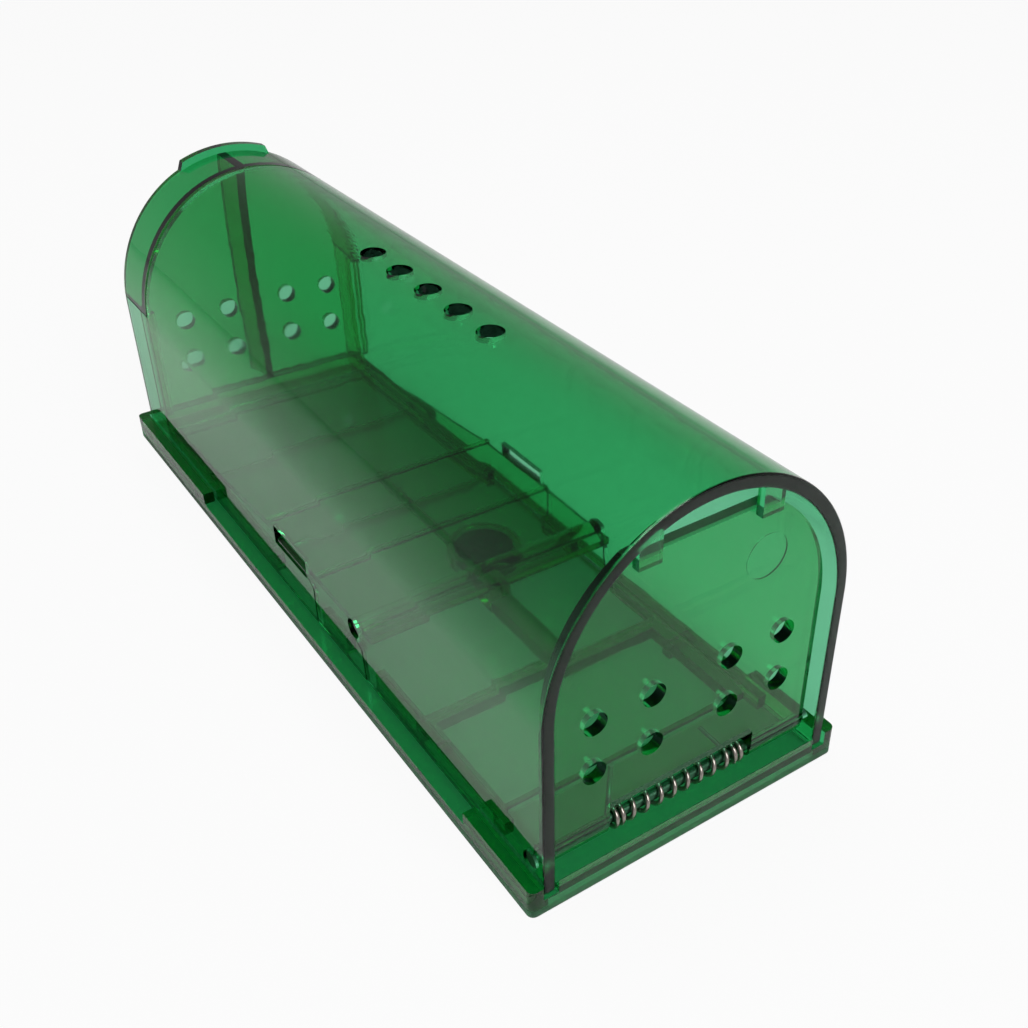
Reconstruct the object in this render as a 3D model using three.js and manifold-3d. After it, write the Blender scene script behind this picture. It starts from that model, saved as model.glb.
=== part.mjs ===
// Live catch trap: a clear tunnel on a tray, with a sprung door, a treadle and a lift-out bait cap.
// Millimetres. X is across the tunnel, Y runs from the door to the bait cap, Z is up.
// The origin is the middle of the tray's underside.

import * as THREE from "three";
import { mergeVertices, toCreasedNormals } from "three/addons/utils/BufferGeometryUtils.js";
import Module from "manifold-3d";

const wasm = await Module();
wasm.setup();

// Fits
const seatGap = 0.3; // between pieces that rest on or slide in each other
const runningGap = 0.3; // round a shaft that turns
const overrun = 6; // how far a cutter passes the faces that it cuts

// Tunnel: straight walls under an elliptical arch
const wall = 2.2;
const tunnelHalfWidth = 28.9;
const archStart = 36.24;
const crownHeight = 67.05;
const tunnelLength = 175.44;
const ventRadius = 2.5;
const ventPitch = 10.46;
const ventCount = 5;
const ventSetback = 16.31; // from the axle to the middle vent
const lugInner = 9;
const lugWidth = 4;
const lugFoot = 57.8;
const guideDepth = 1.5;
const guideWidth = 1.7;

// Tray: a cored floor with a low flange, a curb round each end and upstands inside the walls
const flangeHeight = 3;
const floorThickness = 1.6;
const curbHeight = 5.62;
const curbWidth = 2.45;
const frontLip = 0.38;
const sillHeight = 4.2;
const rearCurb = 1.88;
const frontCurbLength = 19.7;
const rearCurbLength = 44.8;
const trayCorner = 1.2;
const upstandWidth = 1.8;
const upstandHeight = 6.9;
const upstandSetback = 8.7;
const padSetback = 12.2;
const padLength = 25.9;
const padHeight = 5.8;
const underRim = 2;
const underRib = 2;
const underBays = 5;

// Ears: the treadle reaches into a window in each wall, and the window stops its swing
const earSetback = 27.3; // from the axle to the middle of the ears
const earLength = 14;
const earLead = 1.4; // the bevel that opens the walls when the treadle is pushed in from below
const earLeadDrop = 0.9;
const windowEndGap = 0.5;

// Slits that let the wall flex at the window and at the axle hole, and gaps in the upstands there
const slitWidth = 0.5;
const windowSlitInset = 0.2;
const windowSlitRise = 1.3;
const windowSlitStep = 3.2;
const windowSlitDrop = 0.7;
const axleSlitStep = 2.7;
const axleSlitDrop = 1.3;
const axleSlitOffset = 0.9;
const earRelief = 10.8;
const axleRelief = 5.8;

// Door: a flat plate with a barrel along its foot, closed at the mouth
const doorSetback = 2.02;
const doorThickness = 2;
const doorSideGap = 1.2;
const doorTopGap = 2.5;
const doorTop = 60;
const doorTopBevel = 1.2;
const doorFoot = 8.2;
const notchHalfWidth = 14.6;
const notchTop = 12.3;
const barrelRadius = 1.7;
const hingeHeight = 7.6;
const hingeInset = 0.1;
const holeRadius = 2.15;
const holeInnerX = 7.5;
const holeOuterX = 18.3;
const doorHoleLowRow = 21.8;
const doorHoleHighRow = 31.7;
const ejectorRadius = 4;
const ejectorDepth = 0.25;
const ejectorX = 13.5;
const ejectorZ = 47.9;

// Hinge pin and torsion spring
const pinRadius = 0.9;
const pinRecess = 0.3;
const pinHeadRadius = 1.5;
const pinHeadLength = 1;
const wireRadius = 0.35;
const coilRadius = 1.6;
const coilMiddleX = -0.6;
const closePitchLength = 1.2;
const openPitchLength = 2.75;
const closeTurns = 2;
const openTurns = 8;
const stepsPerTurn = 8;
const wireSides = 5;
const gapSamples = 4; // points taken on each step when the least gap is measured
const doorLegLength = 12;
const floorLegBend = 1;
const floorLegBendSteps = 3;
const floorLegLength = 7.8;

// Treadle: a plate with its axle, a ramp at the rear and an arm that the folded door presses
const treadleTip = 5.2; // from the axle to the front edge that holds the folded door
const treadleSideGap = 0.4;
const treadleThickness = 1.6;
const treadleRise = 0.8; // of the plate's top over the axle's centre
const treadleFlat = 40.1;
const treadleEndGap = 1;
const treadleRib = 1;
const treadleRibHeight = 0.8;
const treadleRibPitch = 23;
const axleRadius = 1.8;
const axleHeight = 13.7;
const axleRecess = 0.5;
const setAngle = 3.5 * THREE.MathUtils.DEG2RAD; // rear up, with the trap set
const armReach = 24.2;
const armWidth = 4.4;
const armDepth = 3;
const armRoot = 7;
const spineWidth = 1;
const spineDepth = 2;
const spineLength = 44;

// Treadle weight, held in a cup under the plate
const weightRadius = 6;
const weightHeight = 3;
const weightX = 4.5;
const weightSetback = 7.8;
const cupWall = 1.2;

// Bait cap: an arch band, an end plate with air holes, a middle rib and a thumb lip
const capLength = 15.84;
const capSeam = 38.14;
const capPlateSetback = 2.72;
const capPlateThickness = 2;
const capPlateFoot = 12;
const capRibWidth = 2;
const capRibFoot = 9.7;
const capHoleLowRow = 22.8;
const capHoleHighRow = 33;
const lipHalfWidth = 10.5;
const lipRise = 1.8;
const lipThickness = 2;

// Facets
const archFacets = 24;
const roundFacets = 8;
const cornerFacets = 3;
const creaseAngle = Math.PI / 6;

// Places that follow from the sizes above
const innerHalfWidth = tunnelHalfWidth - wall;
const innerCrown = crownHeight - wall;
const trayHalfWidth = tunnelHalfWidth + seatGap + curbWidth;
const trayLength = frontLip + tunnelLength + seatGap + rearCurb;
const trayFront = -trayLength / 2;
const trayRear = trayLength / 2;
const tunnelFront = trayFront + frontLip;
const tunnelRear = tunnelFront + tunnelLength;
const tunnelFoot = flangeHeight + seatGap;
const slotInner = innerHalfWidth - seatGap;
const slotOuter = tunnelHalfWidth + seatGap;
const doorOuterY = tunnelFront + doorSetback;
const doorInnerY = doorOuterY + doorThickness;
const hingeY = doorInnerY - hingeInset;
const doorHalfWidth = innerHalfWidth - doorSideGap;
const doorReach = doorTop - hingeHeight;
const treadleFront = hingeY + doorReach + runningGap;
const axleY = treadleFront + treadleTip;
const ventMiddle = axleY + ventSetback;
const earMiddle = axleY + earSetback;
const treadleTop = axleHeight + treadleRise;
const treadleFoot = treadleTop - treadleThickness;
const treadleHalfWidth = innerHalfWidth - treadleSideGap;
const bendY = axleY + treadleFlat;
const shellArchRear = tunnelRear - capLength;
const bandFront = shellArchRear + seatGap;
const capPlateFront = bandFront + capPlateSetback;
const capPlateRear = capPlateFront + capPlateThickness;
const guideFront = capPlateFront - seatGap - guideWidth;
const treadleRear = guideFront - treadleEndGap;
const treadleRearFoot = upstandHeight + seatGap;
const upstandInner = slotInner - upstandWidth;
const upstandFront = hingeY + upstandSetback;
const padFront = hingeY + padSetback;
const padRear = padFront + padLength;
const armFoot = padHeight + seatGap + armReach * Math.sin(setAngle);
const earFront = earMiddle - earLength / 2;
const earRear = earMiddle + earLength / 2;
const earOuter = tunnelHalfWidth - seatGap;
const earRise = (earRear - axleY) * Math.sin(setAngle);
const weightY = axleY + weightSetback;

// Turns a closed three.js geometry into a solid that can be joined and cut.
function solid(geometry) {
  const bare = geometry.clone();
  bare.deleteAttribute("normal");
  bare.deleteAttribute("uv");
  const merged = mergeVertices(bare);
  return new wasm.Manifold(
    new wasm.Mesh({
      numProp: 3,
      vertProperties: merged.attributes.position.array,
      triVerts: Uint32Array.from(merged.index.array),
    }),
  );
}

// Turns a solid into a named mesh of the scene.
function named(name, body, material) {
  const { vertProperties, triVerts } = body.getMesh();
  const geometry = new THREE.BufferGeometry();
  geometry.setAttribute("position", new THREE.BufferAttribute(vertProperties, 3));
  geometry.setIndex(new THREE.BufferAttribute(triVerts, 1));
  const mesh = new THREE.Mesh(toCreasedNormals(geometry, creaseAngle), material);
  mesh.name = name;
  return mesh;
}

function block(x0, x1, y0, y1, z0, z1) {
  const box = new THREE.BoxGeometry(x1 - x0, y1 - y0, z1 - z0);
  box.translate((x0 + x1) / 2, (y0 + y1) / 2, (z0 + z1) / 2);
  return solid(box);
}

function extruded(shape, depth, curveSegments) {
  return new THREE.ExtrudeGeometry(shape, { depth, curveSegments, bevelEnabled: false });
}

// An outline in X and Z, swept along Y.
function alongY(shape, y0, y1, facets = roundFacets) {
  const swept = extruded(shape, y1 - y0, facets);
  swept.rotateX(Math.PI / 2);
  swept.translate(0, y1, 0);
  return solid(swept);
}

// An outline in Y and Z, swept along X.
function alongX(shape, x0, x1, facets = roundFacets) {
  const swept = extruded(shape, x1 - x0, facets);
  swept.applyMatrix4(new THREE.Matrix4().set(0, 0, 1, 0, 1, 0, 0, 0, 0, 1, 0, 0, 0, 0, 0, 1));
  swept.translate(x0, 0, 0);
  return solid(swept);
}

// An outline in X and Y, swept along Z.
function alongZ(shape, z0, z1, facets = roundFacets) {
  const swept = extruded(shape, z1 - z0, facets);
  swept.translate(0, 0, z0);
  return solid(swept);
}

function disc(a, b, radius) {
  return new THREE.Shape().absarc(a, b, radius, 0, 2 * Math.PI, false);
}

function outline(points) {
  return new THREE.Shape(points.map(([a, b]) => new THREE.Vector2(a, b)));
}

// The tunnel's section: straight walls under half an ellipse.
function archOutline(halfWidth, crown, foot) {
  const shape = new THREE.Shape();
  shape.moveTo(-halfWidth, foot);
  shape.lineTo(halfWidth, foot);
  shape.lineTo(halfWidth, archStart);
  shape.absellipse(0, archStart, halfWidth, crown - archStart, 0, Math.PI, false);
  return shape;
}

function arch(halfWidth, crown, foot, y0, y1) {
  return alongY(archOutline(halfWidth, crown, foot), y0, y1, archFacets);
}

function joined(bodies) {
  return bodies.reduce((sum, body) => sum.add(body));
}

function bothSides(body) {
  return body.add(body.mirror([1, 0, 0]));
}

// Eight round air holes in two rows, through a plate that faces along Y.
function airHoles(rows, y0, y1) {
  const columns = [-holeOuterX, -holeInnerX, holeInnerX, holeOuterX];
  const holes = rows.flatMap((z) => columns.map((x) => alongY(disc(x, z, holeRadius), y0, y1)));
  return joined(holes);
}

// Tray
function makeTray() {
  const corner = new THREE.Shape();
  const cornerX = trayHalfWidth - trayCorner;
  corner.absarc(cornerX, trayFront + trayCorner, trayCorner, -Math.PI / 2, 0, false);
  corner.absarc(cornerX, trayRear - trayCorner, trayCorner, 0, Math.PI / 2, false);
  corner.absarc(-cornerX, trayRear - trayCorner, trayCorner, Math.PI / 2, Math.PI, false);
  corner.absarc(-cornerX, trayFront + trayCorner, trayCorner, Math.PI, 1.5 * Math.PI, false);
  const floor = alongZ(corner, 0, flangeHeight, cornerFacets);
  const rim = alongZ(corner, 0, curbHeight, cornerFacets);

  // The curb is what is left of the rim outside the walls, at the two ends.
  const inside = block(-slotOuter, slotOuter, tunnelFront - seatGap, tunnelRear + seatGap,
    flangeHeight, curbHeight + overrun);
  const sill = block(-slotInner, slotInner, trayFront, padFront, 0, sillHeight);
  const between = block(-trayHalfWidth - overrun, trayHalfWidth + overrun,
    trayFront + frontCurbLength, trayRear - rearCurbLength, flangeHeight, curbHeight + overrun);
  const wallEnds = bothSides(block(slotInner, slotOuter, trayFront - overrun,
    tunnelFront + overrun, flangeHeight, curbHeight + overrun));
  const curb = rim.subtract(inside).subtract(between).subtract(wallEnds).add(sill);

  const upstand = block(upstandInner, slotInner, upstandFront, capPlateRear, 0, upstandHeight);
  const earGap = block(0, slotInner + overrun, earMiddle - earRelief, earMiddle + earRelief,
    flangeHeight, upstandHeight + overrun);
  const axleGap = block(0, slotInner + overrun, axleY - axleRelief, axleY + axleRelief,
    flangeHeight, upstandHeight + overrun);
  const side = upstand.subtract(earGap).subtract(axleGap);

  const pad = block(-upstandInner - upstandWidth / 2, upstandInner + upstandWidth / 2,
    padFront, padRear, 0, padHeight);
  const bulkhead = block(-slotInner, slotInner, capPlateFront, capPlateRear,
    0, capPlateFoot - seatGap);

  // The underside is cored to an even floor thickness, with ribs across between the bays.
  const bayPitch = (trayLength - 2 * underRim + underRib) / underBays;
  const bays = Array.from({ length: underBays }, (_, i) => {
    const y0 = trayFront + underRim + i * bayPitch;
    return block(-trayHalfWidth + underRim, trayHalfWidth - underRim, y0,
      y0 + bayPitch - underRib, -overrun, flangeHeight - floorThickness);
  });
  const padCore = block(-upstandInner + floorThickness, upstandInner - floorThickness,
    padFront + floorThickness, padRear - floorThickness, -overrun, padHeight - floorThickness);

  return joined([floor, curb, bothSides(side), pad, bulkhead])
    .subtract(joined(bays))
    .subtract(padCore);
}

// A thin kinked cut from a hole in the wall down through the wall's foot.
function slit(topY, topZ, kinkY, kinkZ, footY) {
  const footZ = tunnelFoot - overrun;
  return outline([
    [footY, footZ],
    [footY + slitWidth, footZ],
    [kinkY + slitWidth, kinkZ],
    [topY + slitWidth, topZ],
    [topY, topZ],
    [kinkY, kinkZ],
  ]);
}

// Tunnel
function makeTunnel() {
  const outside = arch(tunnelHalfWidth, crownHeight, tunnelFoot, tunnelFront, tunnelRear);
  const bore = arch(innerHalfWidth, innerCrown, tunnelFoot - overrun,
    tunnelFront - overrun, tunnelRear + overrun);
  const shell = outside.subtract(bore);

  // Two lugs under the roof stop the door, and two pairs of ribs guide the bait cap's plate.
  const lug = block(lugInner, lugInner + lugWidth, tunnelFront, doorOuterY - seatGap,
    lugFoot, crownHeight + overrun);
  const guideX = innerHalfWidth - guideDepth;
  const guideOuter = innerHalfWidth + wall / 2;
  const frontGuide = block(guideX, guideOuter, guideFront, guideFront + guideWidth,
    capPlateFoot, capSeam);
  const rearGuide = block(guideX, guideOuter, capPlateRear + seatGap,
    capPlateRear + seatGap + guideWidth, capPlateFoot, capSeam);
  const fitted = bothSides(joined([lug, frontGuide, rearGuide])).intersect(outside);

  const capRoom = block(-tunnelHalfWidth - overrun, tunnelHalfWidth + overrun,
    shellArchRear, tunnelRear + overrun, capSeam, crownHeight + overrun);
  const vents = Array.from({ length: ventCount }, (_, i) => {
    const y = ventMiddle + (i - (ventCount - 1) / 2) * ventPitch;
    return alongZ(disc(0, y, ventRadius), innerCrown - overrun, crownHeight + overrun);
  });

  const acrossX = -tunnelHalfWidth - overrun;
  const across = (shape) => alongX(shape, acrossX, -acrossX);
  const windowTop = treadleTop + earRise + seatGap;
  const windowFoot = treadleFoot - seatGap;
  const windowFront = earFront - windowEndGap;
  const windowRear = earRear + windowEndGap;
  const window = across(outline([
    [windowFront, windowFoot],
    [windowRear, windowFoot],
    [windowRear, windowTop],
    [windowFront, windowTop],
  ]));
  const windowSlitY = windowFront + windowSlitInset;
  const windowSlit = across(slit(windowSlitY, windowFoot + windowSlitRise,
    windowSlitY - windowSlitStep, windowFoot - windowSlitDrop, windowSlitY - windowSlitStep));
  const axleHoleRadius = axleRadius + runningGap;
  const axleHole = across(disc(axleY, axleHeight, axleHoleRadius));
  const axleSlitY = axleY - slitWidth;
  const axleSlitZ = axleHeight - axleHoleRadius;
  const axleSlit = across(slit(axleSlitY, axleSlitZ + slitWidth, axleSlitY - axleSlitStep,
    axleSlitZ - axleSlitDrop, axleSlitY - axleSlitStep - axleSlitOffset));
  const pinHole = across(disc(hingeY, hingeHeight, pinRadius + runningGap));
  const pinHeadSeat = alongX(disc(hingeY, hingeHeight, pinHeadRadius + runningGap),
    -tunnelHalfWidth - overrun, -tunnelHalfWidth + pinRecess + pinHeadLength + seatGap);

  return shell
    .add(fitted)
    .subtract(capRoom)
    .subtract(joined(vents))
    .subtract(joined([window, windowSlit, axleHole, axleSlit, pinHole, pinHeadSeat]));
}

// Door
function makeDoor() {
  const plate = arch(doorHalfWidth, innerCrown - doorTopGap, doorFoot, doorOuterY, doorInnerY);
  const above = block(-doorHalfWidth, doorHalfWidth, doorOuterY - overrun, doorInnerY + overrun,
    doorTop, crownHeight);
  const bevel = alongX(outline([
    [doorInnerY - doorTopBevel - overrun, doorTop + overrun],
    [doorInnerY + overrun, doorTop - doorTopBevel - overrun],
    [doorInnerY + overrun, doorTop + overrun],
  ]), -doorHalfWidth - overrun, doorHalfWidth + overrun);
  const barrel = alongX(disc(hingeY, hingeHeight, barrelRadius), -doorHalfWidth, doorHalfWidth);
  const notch = block(coilMiddleX - notchHalfWidth, coilMiddleX + notchHalfWidth,
    doorOuterY - overrun, doorInnerY + overrun, 0, notchTop);
  const bore = alongX(disc(hingeY, hingeHeight, pinRadius + runningGap),
    -doorHalfWidth - overrun, doorHalfWidth + overrun);
  const holes = airHoles([doorHoleLowRow, doorHoleHighRow],
    doorOuterY - overrun, doorInnerY + overrun);
  const ejectorMark = alongY(disc(ejectorX, ejectorZ, ejectorRadius),
    doorInnerY - ejectorDepth, doorInnerY + overrun);
  return plate
    .subtract(above)
    .subtract(bevel)
    .add(barrel)
    .subtract(notch)
    .subtract(bore)
    .subtract(holes)
    .subtract(ejectorMark);
}

// Hinge pin, with its head let into the left wall
function makePin() {
  const reach = tunnelHalfWidth - pinRecess;
  const head = alongX(disc(hingeY, hingeHeight, pinHeadRadius), -reach, -reach + pinHeadLength);
  return alongX(disc(hingeY, hingeHeight, pinRadius), -reach, reach).add(head);
}

// The spring's centre line: a leg behind the door, close and open turns, and a leg on the floor.
function springPath() {
  const turns = 2 * closeTurns + openTurns;
  const coilLength = 2 * closeTurns * closePitchLength + openTurns * openPitchLength;
  const along = (turn) => {
    const first = Math.min(turn, closeTurns);
    const middle = THREE.MathUtils.clamp(turn - closeTurns, 0, openTurns);
    const last = Math.max(turn - closeTurns - openTurns, 0);
    return coilMiddleX - coilLength / 2
      + (first + last) * closePitchLength + middle * openPitchLength;
  };
  // The door leg leans until its tip is one seat's gap behind the door.
  const tipY = doorInnerY + seatGap + wireRadius;
  const lean = Math.asin((coilRadius - tipY + hingeY) / doorLegLength);
  const coil = Array.from({ length: turns * stepsPerTurn + 1 }, (_, i) => {
    const angle = lean - ((2 * Math.PI) / stepsPerTurn) * i - (lean * i) / (turns * stepsPerTurn);
    return new THREE.Vector3(
      along(i / stepsPerTurn),
      hingeY + coilRadius * Math.cos(angle),
      hingeHeight + coilRadius * Math.sin(angle),
    );
  });
  const doorLegDirection = new THREE.Vector3(0, -Math.sin(lean), Math.cos(lean));
  const doorTip = coil[0].clone().addScaledVector(doorLegDirection, doorLegLength);
  const floorZ = sillHeight + seatGap + wireRadius;
  const coilEnd = coil[coil.length - 1];
  const bend = Array.from({ length: floorLegBendSteps + 1 }, (_, i) => {
    const angle = (Math.PI / 2) * (i / floorLegBendSteps);
    return new THREE.Vector3(
      coilEnd.x,
      coilEnd.y + floorLegBend * (1 - Math.cos(angle)),
      floorZ + floorLegBend * (1 - Math.sin(angle)),
    );
  });
  const floorTip = bend[bend.length - 1].clone();
  floorTip.y += floorLegLength;
  return [doorTip, ...coil, ...bend, floorTip];
}

// One unbroken tube of wire along a path, with a ring of points at each step and closed ends.
function wireGeometry(path) {
  const tangentAt = (i) => {
    const before = path[Math.max(i - 1, 0)];
    const after = path[Math.min(i + 1, path.length - 1)];
    return after.clone().sub(before).normalize();
  };
  const positions = [];
  const normal = new THREE.Vector3(1, 0, 0);
  path.forEach((point, i) => {
    const tangent = tangentAt(i);
    normal.addScaledVector(tangent, -normal.dot(tangent)).normalize();
    const other = tangent.clone().cross(normal);
    for (let side = 0; side < wireSides; side += 1) {
      const angle = (2 * Math.PI * side) / wireSides;
      const rim = point.clone();
      rim.addScaledVector(normal, wireRadius * Math.cos(angle));
      rim.addScaledVector(other, wireRadius * Math.sin(angle));
      positions.push(rim.x, rim.y, rim.z);
    }
  });
  const faces = [];
  for (let ring = 0; ring + 1 < path.length; ring += 1) {
    for (let side = 0; side < wireSides; side += 1) {
      const a = ring * wireSides + side;
      const b = ring * wireSides + ((side + 1) % wireSides);
      faces.push(a, b, b + wireSides, a, b + wireSides, a + wireSides);
    }
  }
  const last = (path.length - 1) * wireSides;
  for (let side = 1; side + 1 < wireSides; side += 1) {
    faces.push(0, side + 1, side);
    faces.push(last, last + side, last + side + 1);
  }
  const geometry = new THREE.BufferGeometry();
  geometry.setAttribute("position", new THREE.Float32BufferAttribute(positions, 3));
  geometry.setIndex(faces);
  return geometry;
}

// The least gap between two stretches of the wire that are over half a turn apart.
function leastGap(path) {
  const fine = path.slice(1).flatMap((point, i) =>
    Array.from({ length: gapSamples }, (_, k) =>
      path[i].clone().lerp(point, (k + 1) / gapSamples)));
  const apart = gapSamples * (stepsPerTurn / 2);
  let least = Infinity;
  fine.forEach((point, i) => {
    for (let j = i + apart; j < fine.length; j += 1) {
      least = Math.min(least, point.distanceTo(fine[j]));
    }
  });
  return least - 2 * wireRadius;
}

// Treadle
function makeTreadle() {
  const plate = alongX(outline([
    [treadleFront, treadleFoot],
    [bendY, treadleFoot],
    [treadleRear, treadleRearFoot],
    [treadleRear, treadleRearFoot + treadleThickness],
    [bendY, treadleTop],
    [treadleFront, treadleTop],
  ]), -treadleHalfWidth, treadleHalfWidth);
  const crossRibs = [0, 1].map((i) => {
    const y = bendY - i * treadleRibPitch;
    return block(-treadleHalfWidth, treadleHalfWidth, y - treadleRib, y,
      treadleFoot, treadleTop + treadleRibHeight);
  });
  const ears = bothSides(alongY(outline([
    [treadleHalfWidth - wall, treadleFoot],
    [earOuter, treadleFoot],
    [earOuter, treadleTop - earLeadDrop],
    [earOuter - earLead, treadleTop],
    [treadleHalfWidth - wall, treadleTop],
  ]), earFront, earRear));
  const axleReach = tunnelHalfWidth - axleRecess;
  const axle = alongX(disc(axleY, axleHeight, axleRadius), -axleReach, axleReach);

  // The arm hangs from the plate, runs forward under the folded door and ends in a round tip.
  const armTop = armFoot + armDepth;
  const armTipY = axleY - armReach + armDepth / 2;
  const armShape = new THREE.Shape();
  armShape.moveTo(armTipY, armFoot);
  armShape.lineTo(axleY, armFoot);
  armShape.lineTo(axleY + armRoot, treadleTop - treadleThickness / 2);
  armShape.lineTo(treadleFront, treadleTop - treadleThickness / 2);
  armShape.lineTo(treadleFront, armTop);
  armShape.lineTo(armTipY, armTop);
  armShape.absarc(armTipY, armFoot + armDepth / 2, armDepth / 2, Math.PI / 2, 1.5 * Math.PI, false);
  const arm = alongX(armShape, -armWidth / 2, armWidth / 2, cornerFacets);
  const spine = block(-spineWidth / 2, spineWidth / 2, axleY, axleY + spineLength,
    treadleFoot - spineDepth, treadleFoot + treadleThickness / 2);
  const cup = alongZ(disc(weightX, weightY, weightRadius + seatGap + cupWall),
    treadleFoot - seatGap - weightHeight, treadleFoot + treadleThickness / 2);
  const cupBore = alongZ(disc(weightX, weightY, weightRadius + seatGap), 0, treadleFoot);
  return joined([plate, ...crossRibs, ears, axle, arm, spine, cup]).subtract(cupBore);
}

function makeWeight() {
  const top = treadleFoot - seatGap;
  return alongZ(disc(weightX, weightY, weightRadius), top - weightHeight, top);
}

// Bait cap
function makeCap() {
  const bandFoot = capSeam + seatGap;
  const seamCut = block(-tunnelHalfWidth - overrun, tunnelHalfWidth + overrun,
    bandFront - overrun, tunnelRear + overrun, 0, bandFoot);
  const band = arch(tunnelHalfWidth, crownHeight, 0, bandFront, tunnelRear)
    .subtract(arch(innerHalfWidth, innerCrown, -overrun, bandFront - overrun, tunnelRear + overrun))
    .subtract(seamCut);
  const plate = arch(slotInner, innerCrown, capPlateFoot, capPlateFront, capPlateRear);
  const plateEdge = arch(innerHalfWidth + wall / 2, innerCrown + wall / 2, 0,
    capPlateFront, capPlateRear).subtract(seamCut);
  const rib = alongX(outline([
    [capPlateFront + capPlateThickness / 2, capPlateFoot],
    [capPlateRear, capPlateFoot],
    [tunnelRear, capRibFoot],
    [tunnelRear, innerCrown + wall / 2],
    [capPlateFront + capPlateThickness / 2, innerCrown + wall / 2],
  ]), -capRibWidth / 2, capRibWidth / 2);
  const lip = arch(tunnelHalfWidth + lipRise, crownHeight + lipRise, 0,
    tunnelRear - lipThickness, tunnelRear)
    .intersect(block(-lipHalfWidth, lipHalfWidth, tunnelRear - lipThickness - overrun,
      tunnelRear + overrun, capSeam, crownHeight + overrun))
    .subtract(arch(innerHalfWidth, innerCrown, 0, bandFront, tunnelRear + overrun));
  const holes = airHoles([capHoleLowRow, capHoleHighRow],
    capPlateFront - overrun, capPlateRear + overrun);
  return joined([band, plate, plateEdge, lip]).subtract(holes).add(rib);
}

// Materials
const clearGreen = { color: 0x2f9a58, roughness: 0.08, metalness: 0, transparent: true, opacity: 0.55 };
const trayPlastic = new THREE.MeshStandardMaterial({ ...clearGreen, color: 0x1f7a45 });
const tunnelPlastic = new THREE.MeshStandardMaterial(clearGreen);
const doorPlastic = new THREE.MeshStandardMaterial(clearGreen);
const treadlePlastic = new THREE.MeshStandardMaterial({ ...clearGreen, color: 0x1f7a45 });
const capPlastic = new THREE.MeshStandardMaterial(clearGreen);
const pinSteel = new THREE.MeshStandardMaterial({ color: 0x8d8f90, roughness: 0.3, metalness: 1 });
const springSteel = new THREE.MeshStandardMaterial({ color: 0x8a8174, roughness: 0.35, metalness: 1 });
const weightSteel = new THREE.MeshStandardMaterial({ color: 0x3a3d3c, roughness: 0.5, metalness: 1 });

// Assembly
const path = springPath();
console.log(`spring: least gap to itself ${leastGap(path).toFixed(2)} mm`);

const fixed = new THREE.Group();
fixed.add(
  named("base_tray", makeTray(), trayPlastic),
  named("tunnel_shell", makeTunnel(), tunnelPlastic),
  named("door_hinge_pin", makePin(), pinSteel),
  named("door_spring", solid(wireGeometry(path)), springSteel),
);
const rocker = new THREE.Group();
rocker.add(
  named("treadle", makeTreadle(), treadlePlastic),
  named("treadle_weight", makeWeight(), weightSteel),
);
const trap = new THREE.Group();
trap.add(fixed, named("door", makeDoor(), doorPlastic), rocker);
trap.add(named("bait_cap", makeCap(), capPlastic));

export default trap;
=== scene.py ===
# %% [markdown]
# # A clear green catch trap
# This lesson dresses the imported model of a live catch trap: a clear arched tunnel on a tray, with a
# sprung door at one end, a treadle in the middle and a lift-out bait cap at the other end. Nearly all
# of it is one clear green plastic, so most of the work is in clean shapes: clear plastic shows every
# edge, and light only bends well through closed walls with smooth curves and small rounded edges.

import math

import bmesh
import bpy
from mathutils import Matrix, Vector


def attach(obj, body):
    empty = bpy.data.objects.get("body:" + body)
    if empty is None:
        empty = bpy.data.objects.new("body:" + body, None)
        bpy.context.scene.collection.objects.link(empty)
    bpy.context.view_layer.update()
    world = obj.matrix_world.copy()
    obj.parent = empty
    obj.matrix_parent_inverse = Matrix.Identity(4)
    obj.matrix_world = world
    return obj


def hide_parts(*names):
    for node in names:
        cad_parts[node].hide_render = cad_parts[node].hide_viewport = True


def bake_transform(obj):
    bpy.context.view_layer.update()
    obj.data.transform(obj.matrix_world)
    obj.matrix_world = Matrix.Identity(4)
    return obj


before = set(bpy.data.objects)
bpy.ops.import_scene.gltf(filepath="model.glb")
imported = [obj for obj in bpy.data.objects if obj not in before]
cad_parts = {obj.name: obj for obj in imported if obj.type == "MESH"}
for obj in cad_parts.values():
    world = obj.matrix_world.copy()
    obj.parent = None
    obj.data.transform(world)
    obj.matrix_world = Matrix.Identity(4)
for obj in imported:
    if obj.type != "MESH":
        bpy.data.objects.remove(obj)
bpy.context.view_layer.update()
MM = 0.001

# %% [markdown]
# ## Camera
# The photograph looks down on the trap from its front left. A camera is a place, a direction and a
# lens. Here the direction is given as a turn about Z, a tilt down and a small roll, which are easy to
# read and to change, and the matrix is built from them.

# %% Camera
CAMERA_PLACE = Vector((-95.30, -188.14, 155.40)) * MM
CAMERA_TURN = 0.563
CAMERA_TILT = 0.599
CAMERA_ROLL = -0.027
CAMERA_LENS = 42.554
SENSOR_WIDTH = 36
NEAREST_SEEN = 0.01


def photo_camera():
    forward = Vector((
        math.sin(CAMERA_TURN) * math.cos(CAMERA_TILT),
        math.cos(CAMERA_TURN) * math.cos(CAMERA_TILT),
        -math.sin(CAMERA_TILT),
    ))
    level = Vector((math.cos(CAMERA_TURN), -math.sin(CAMERA_TURN), 0))
    upright = level.cross(forward)
    right = level * math.cos(CAMERA_ROLL) + upright * math.sin(CAMERA_ROLL)
    up = upright * math.cos(CAMERA_ROLL) - level * math.sin(CAMERA_ROLL)
    matrix = Matrix((right, up, -forward)).transposed().to_4x4()
    matrix.translation = CAMERA_PLACE
    return matrix


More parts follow.
